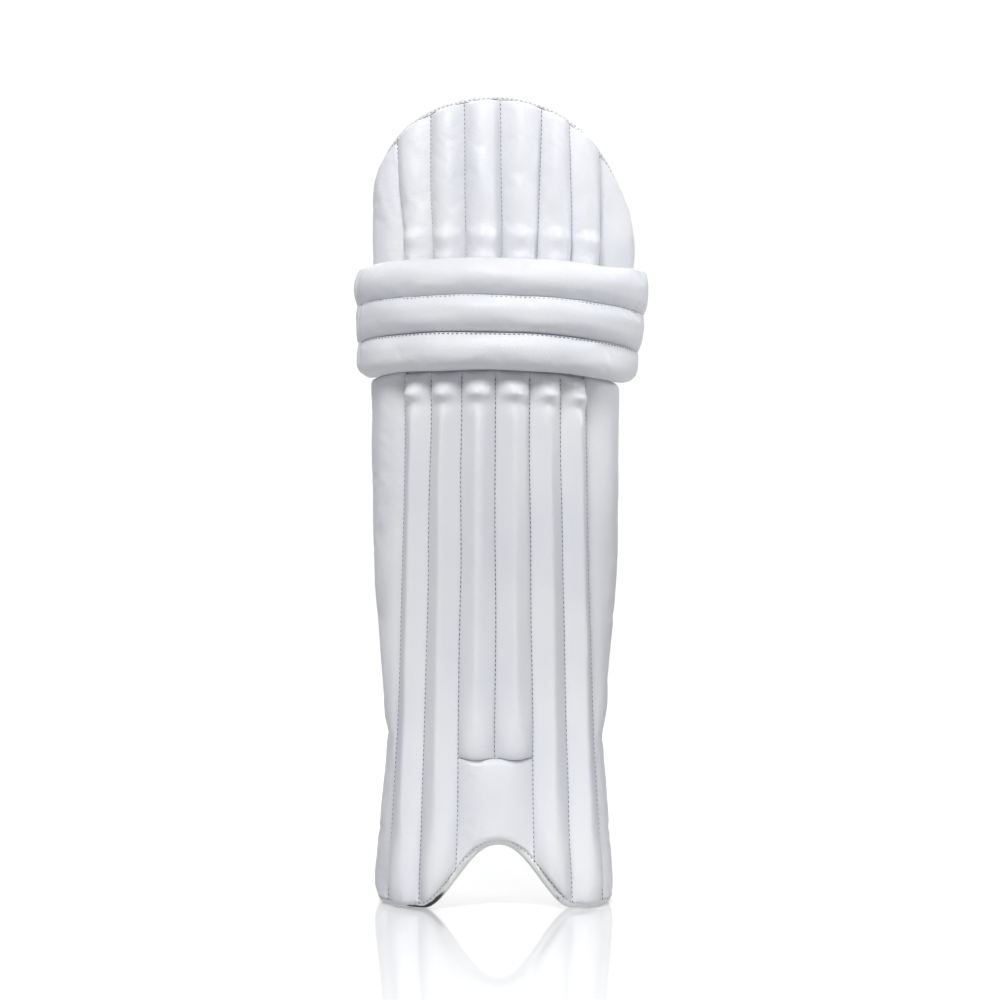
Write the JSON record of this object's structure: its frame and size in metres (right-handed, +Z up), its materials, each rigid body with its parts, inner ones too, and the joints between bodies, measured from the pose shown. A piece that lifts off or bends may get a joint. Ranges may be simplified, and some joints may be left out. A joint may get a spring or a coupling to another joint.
{
  "type": "cricket batting pad",
  "caption": "White cricket batting pad for one leg: domed top hat, knee rolls across, ridged shin rolls, padded wings, arched foot and straps behind the leg.",
  "frame": {"origin": "on the floor under the middle of the pad's outline", "axes": "+Z up the leg, the front faces -Y, +X to the right seen from the front"},
  "size_m": [0.2422, 0.1654, 0.6685],
  "materials": {
    "facing": "satin white synthetic leather",
    "lining": "matt off-white lining cloth",
    "tape": "satin white binding tape",
    "webbing": "matt white webbing"
  },
  "bodies": {
    "root": {"back_panel": "lining", "shin_roll_1": "facing", "shin_roll_2": "facing", "shin_roll_3": "facing", "shin_roll_4": "facing", "shin_roll_5": "facing", "shin_roll_6": "facing", "instep_block": "facing", "wing_left": "facing", "wing_right": "facing", "knee_roll_lower": "facing", "knee_roll_middle": "facing", "knee_roll_upper": "facing", "hat_roll_1": "facing", "hat_roll_2": "facing", "hat_roll_3": "facing", "hat_roll_4": "facing", "hat_roll_5": "facing", "hat_roll_6": "facing", "hat_roll_7": "facing", "hat_roll_8": "facing", "hat_binding": "tape", "wing_binding_left": "tape", "wing_binding_right": "tape", "foot_binding": "tape", "strap_ankle": "webbing", "strap_calf": "webbing", "strap_knee": "webbing"}
  },
  "joints": []
}
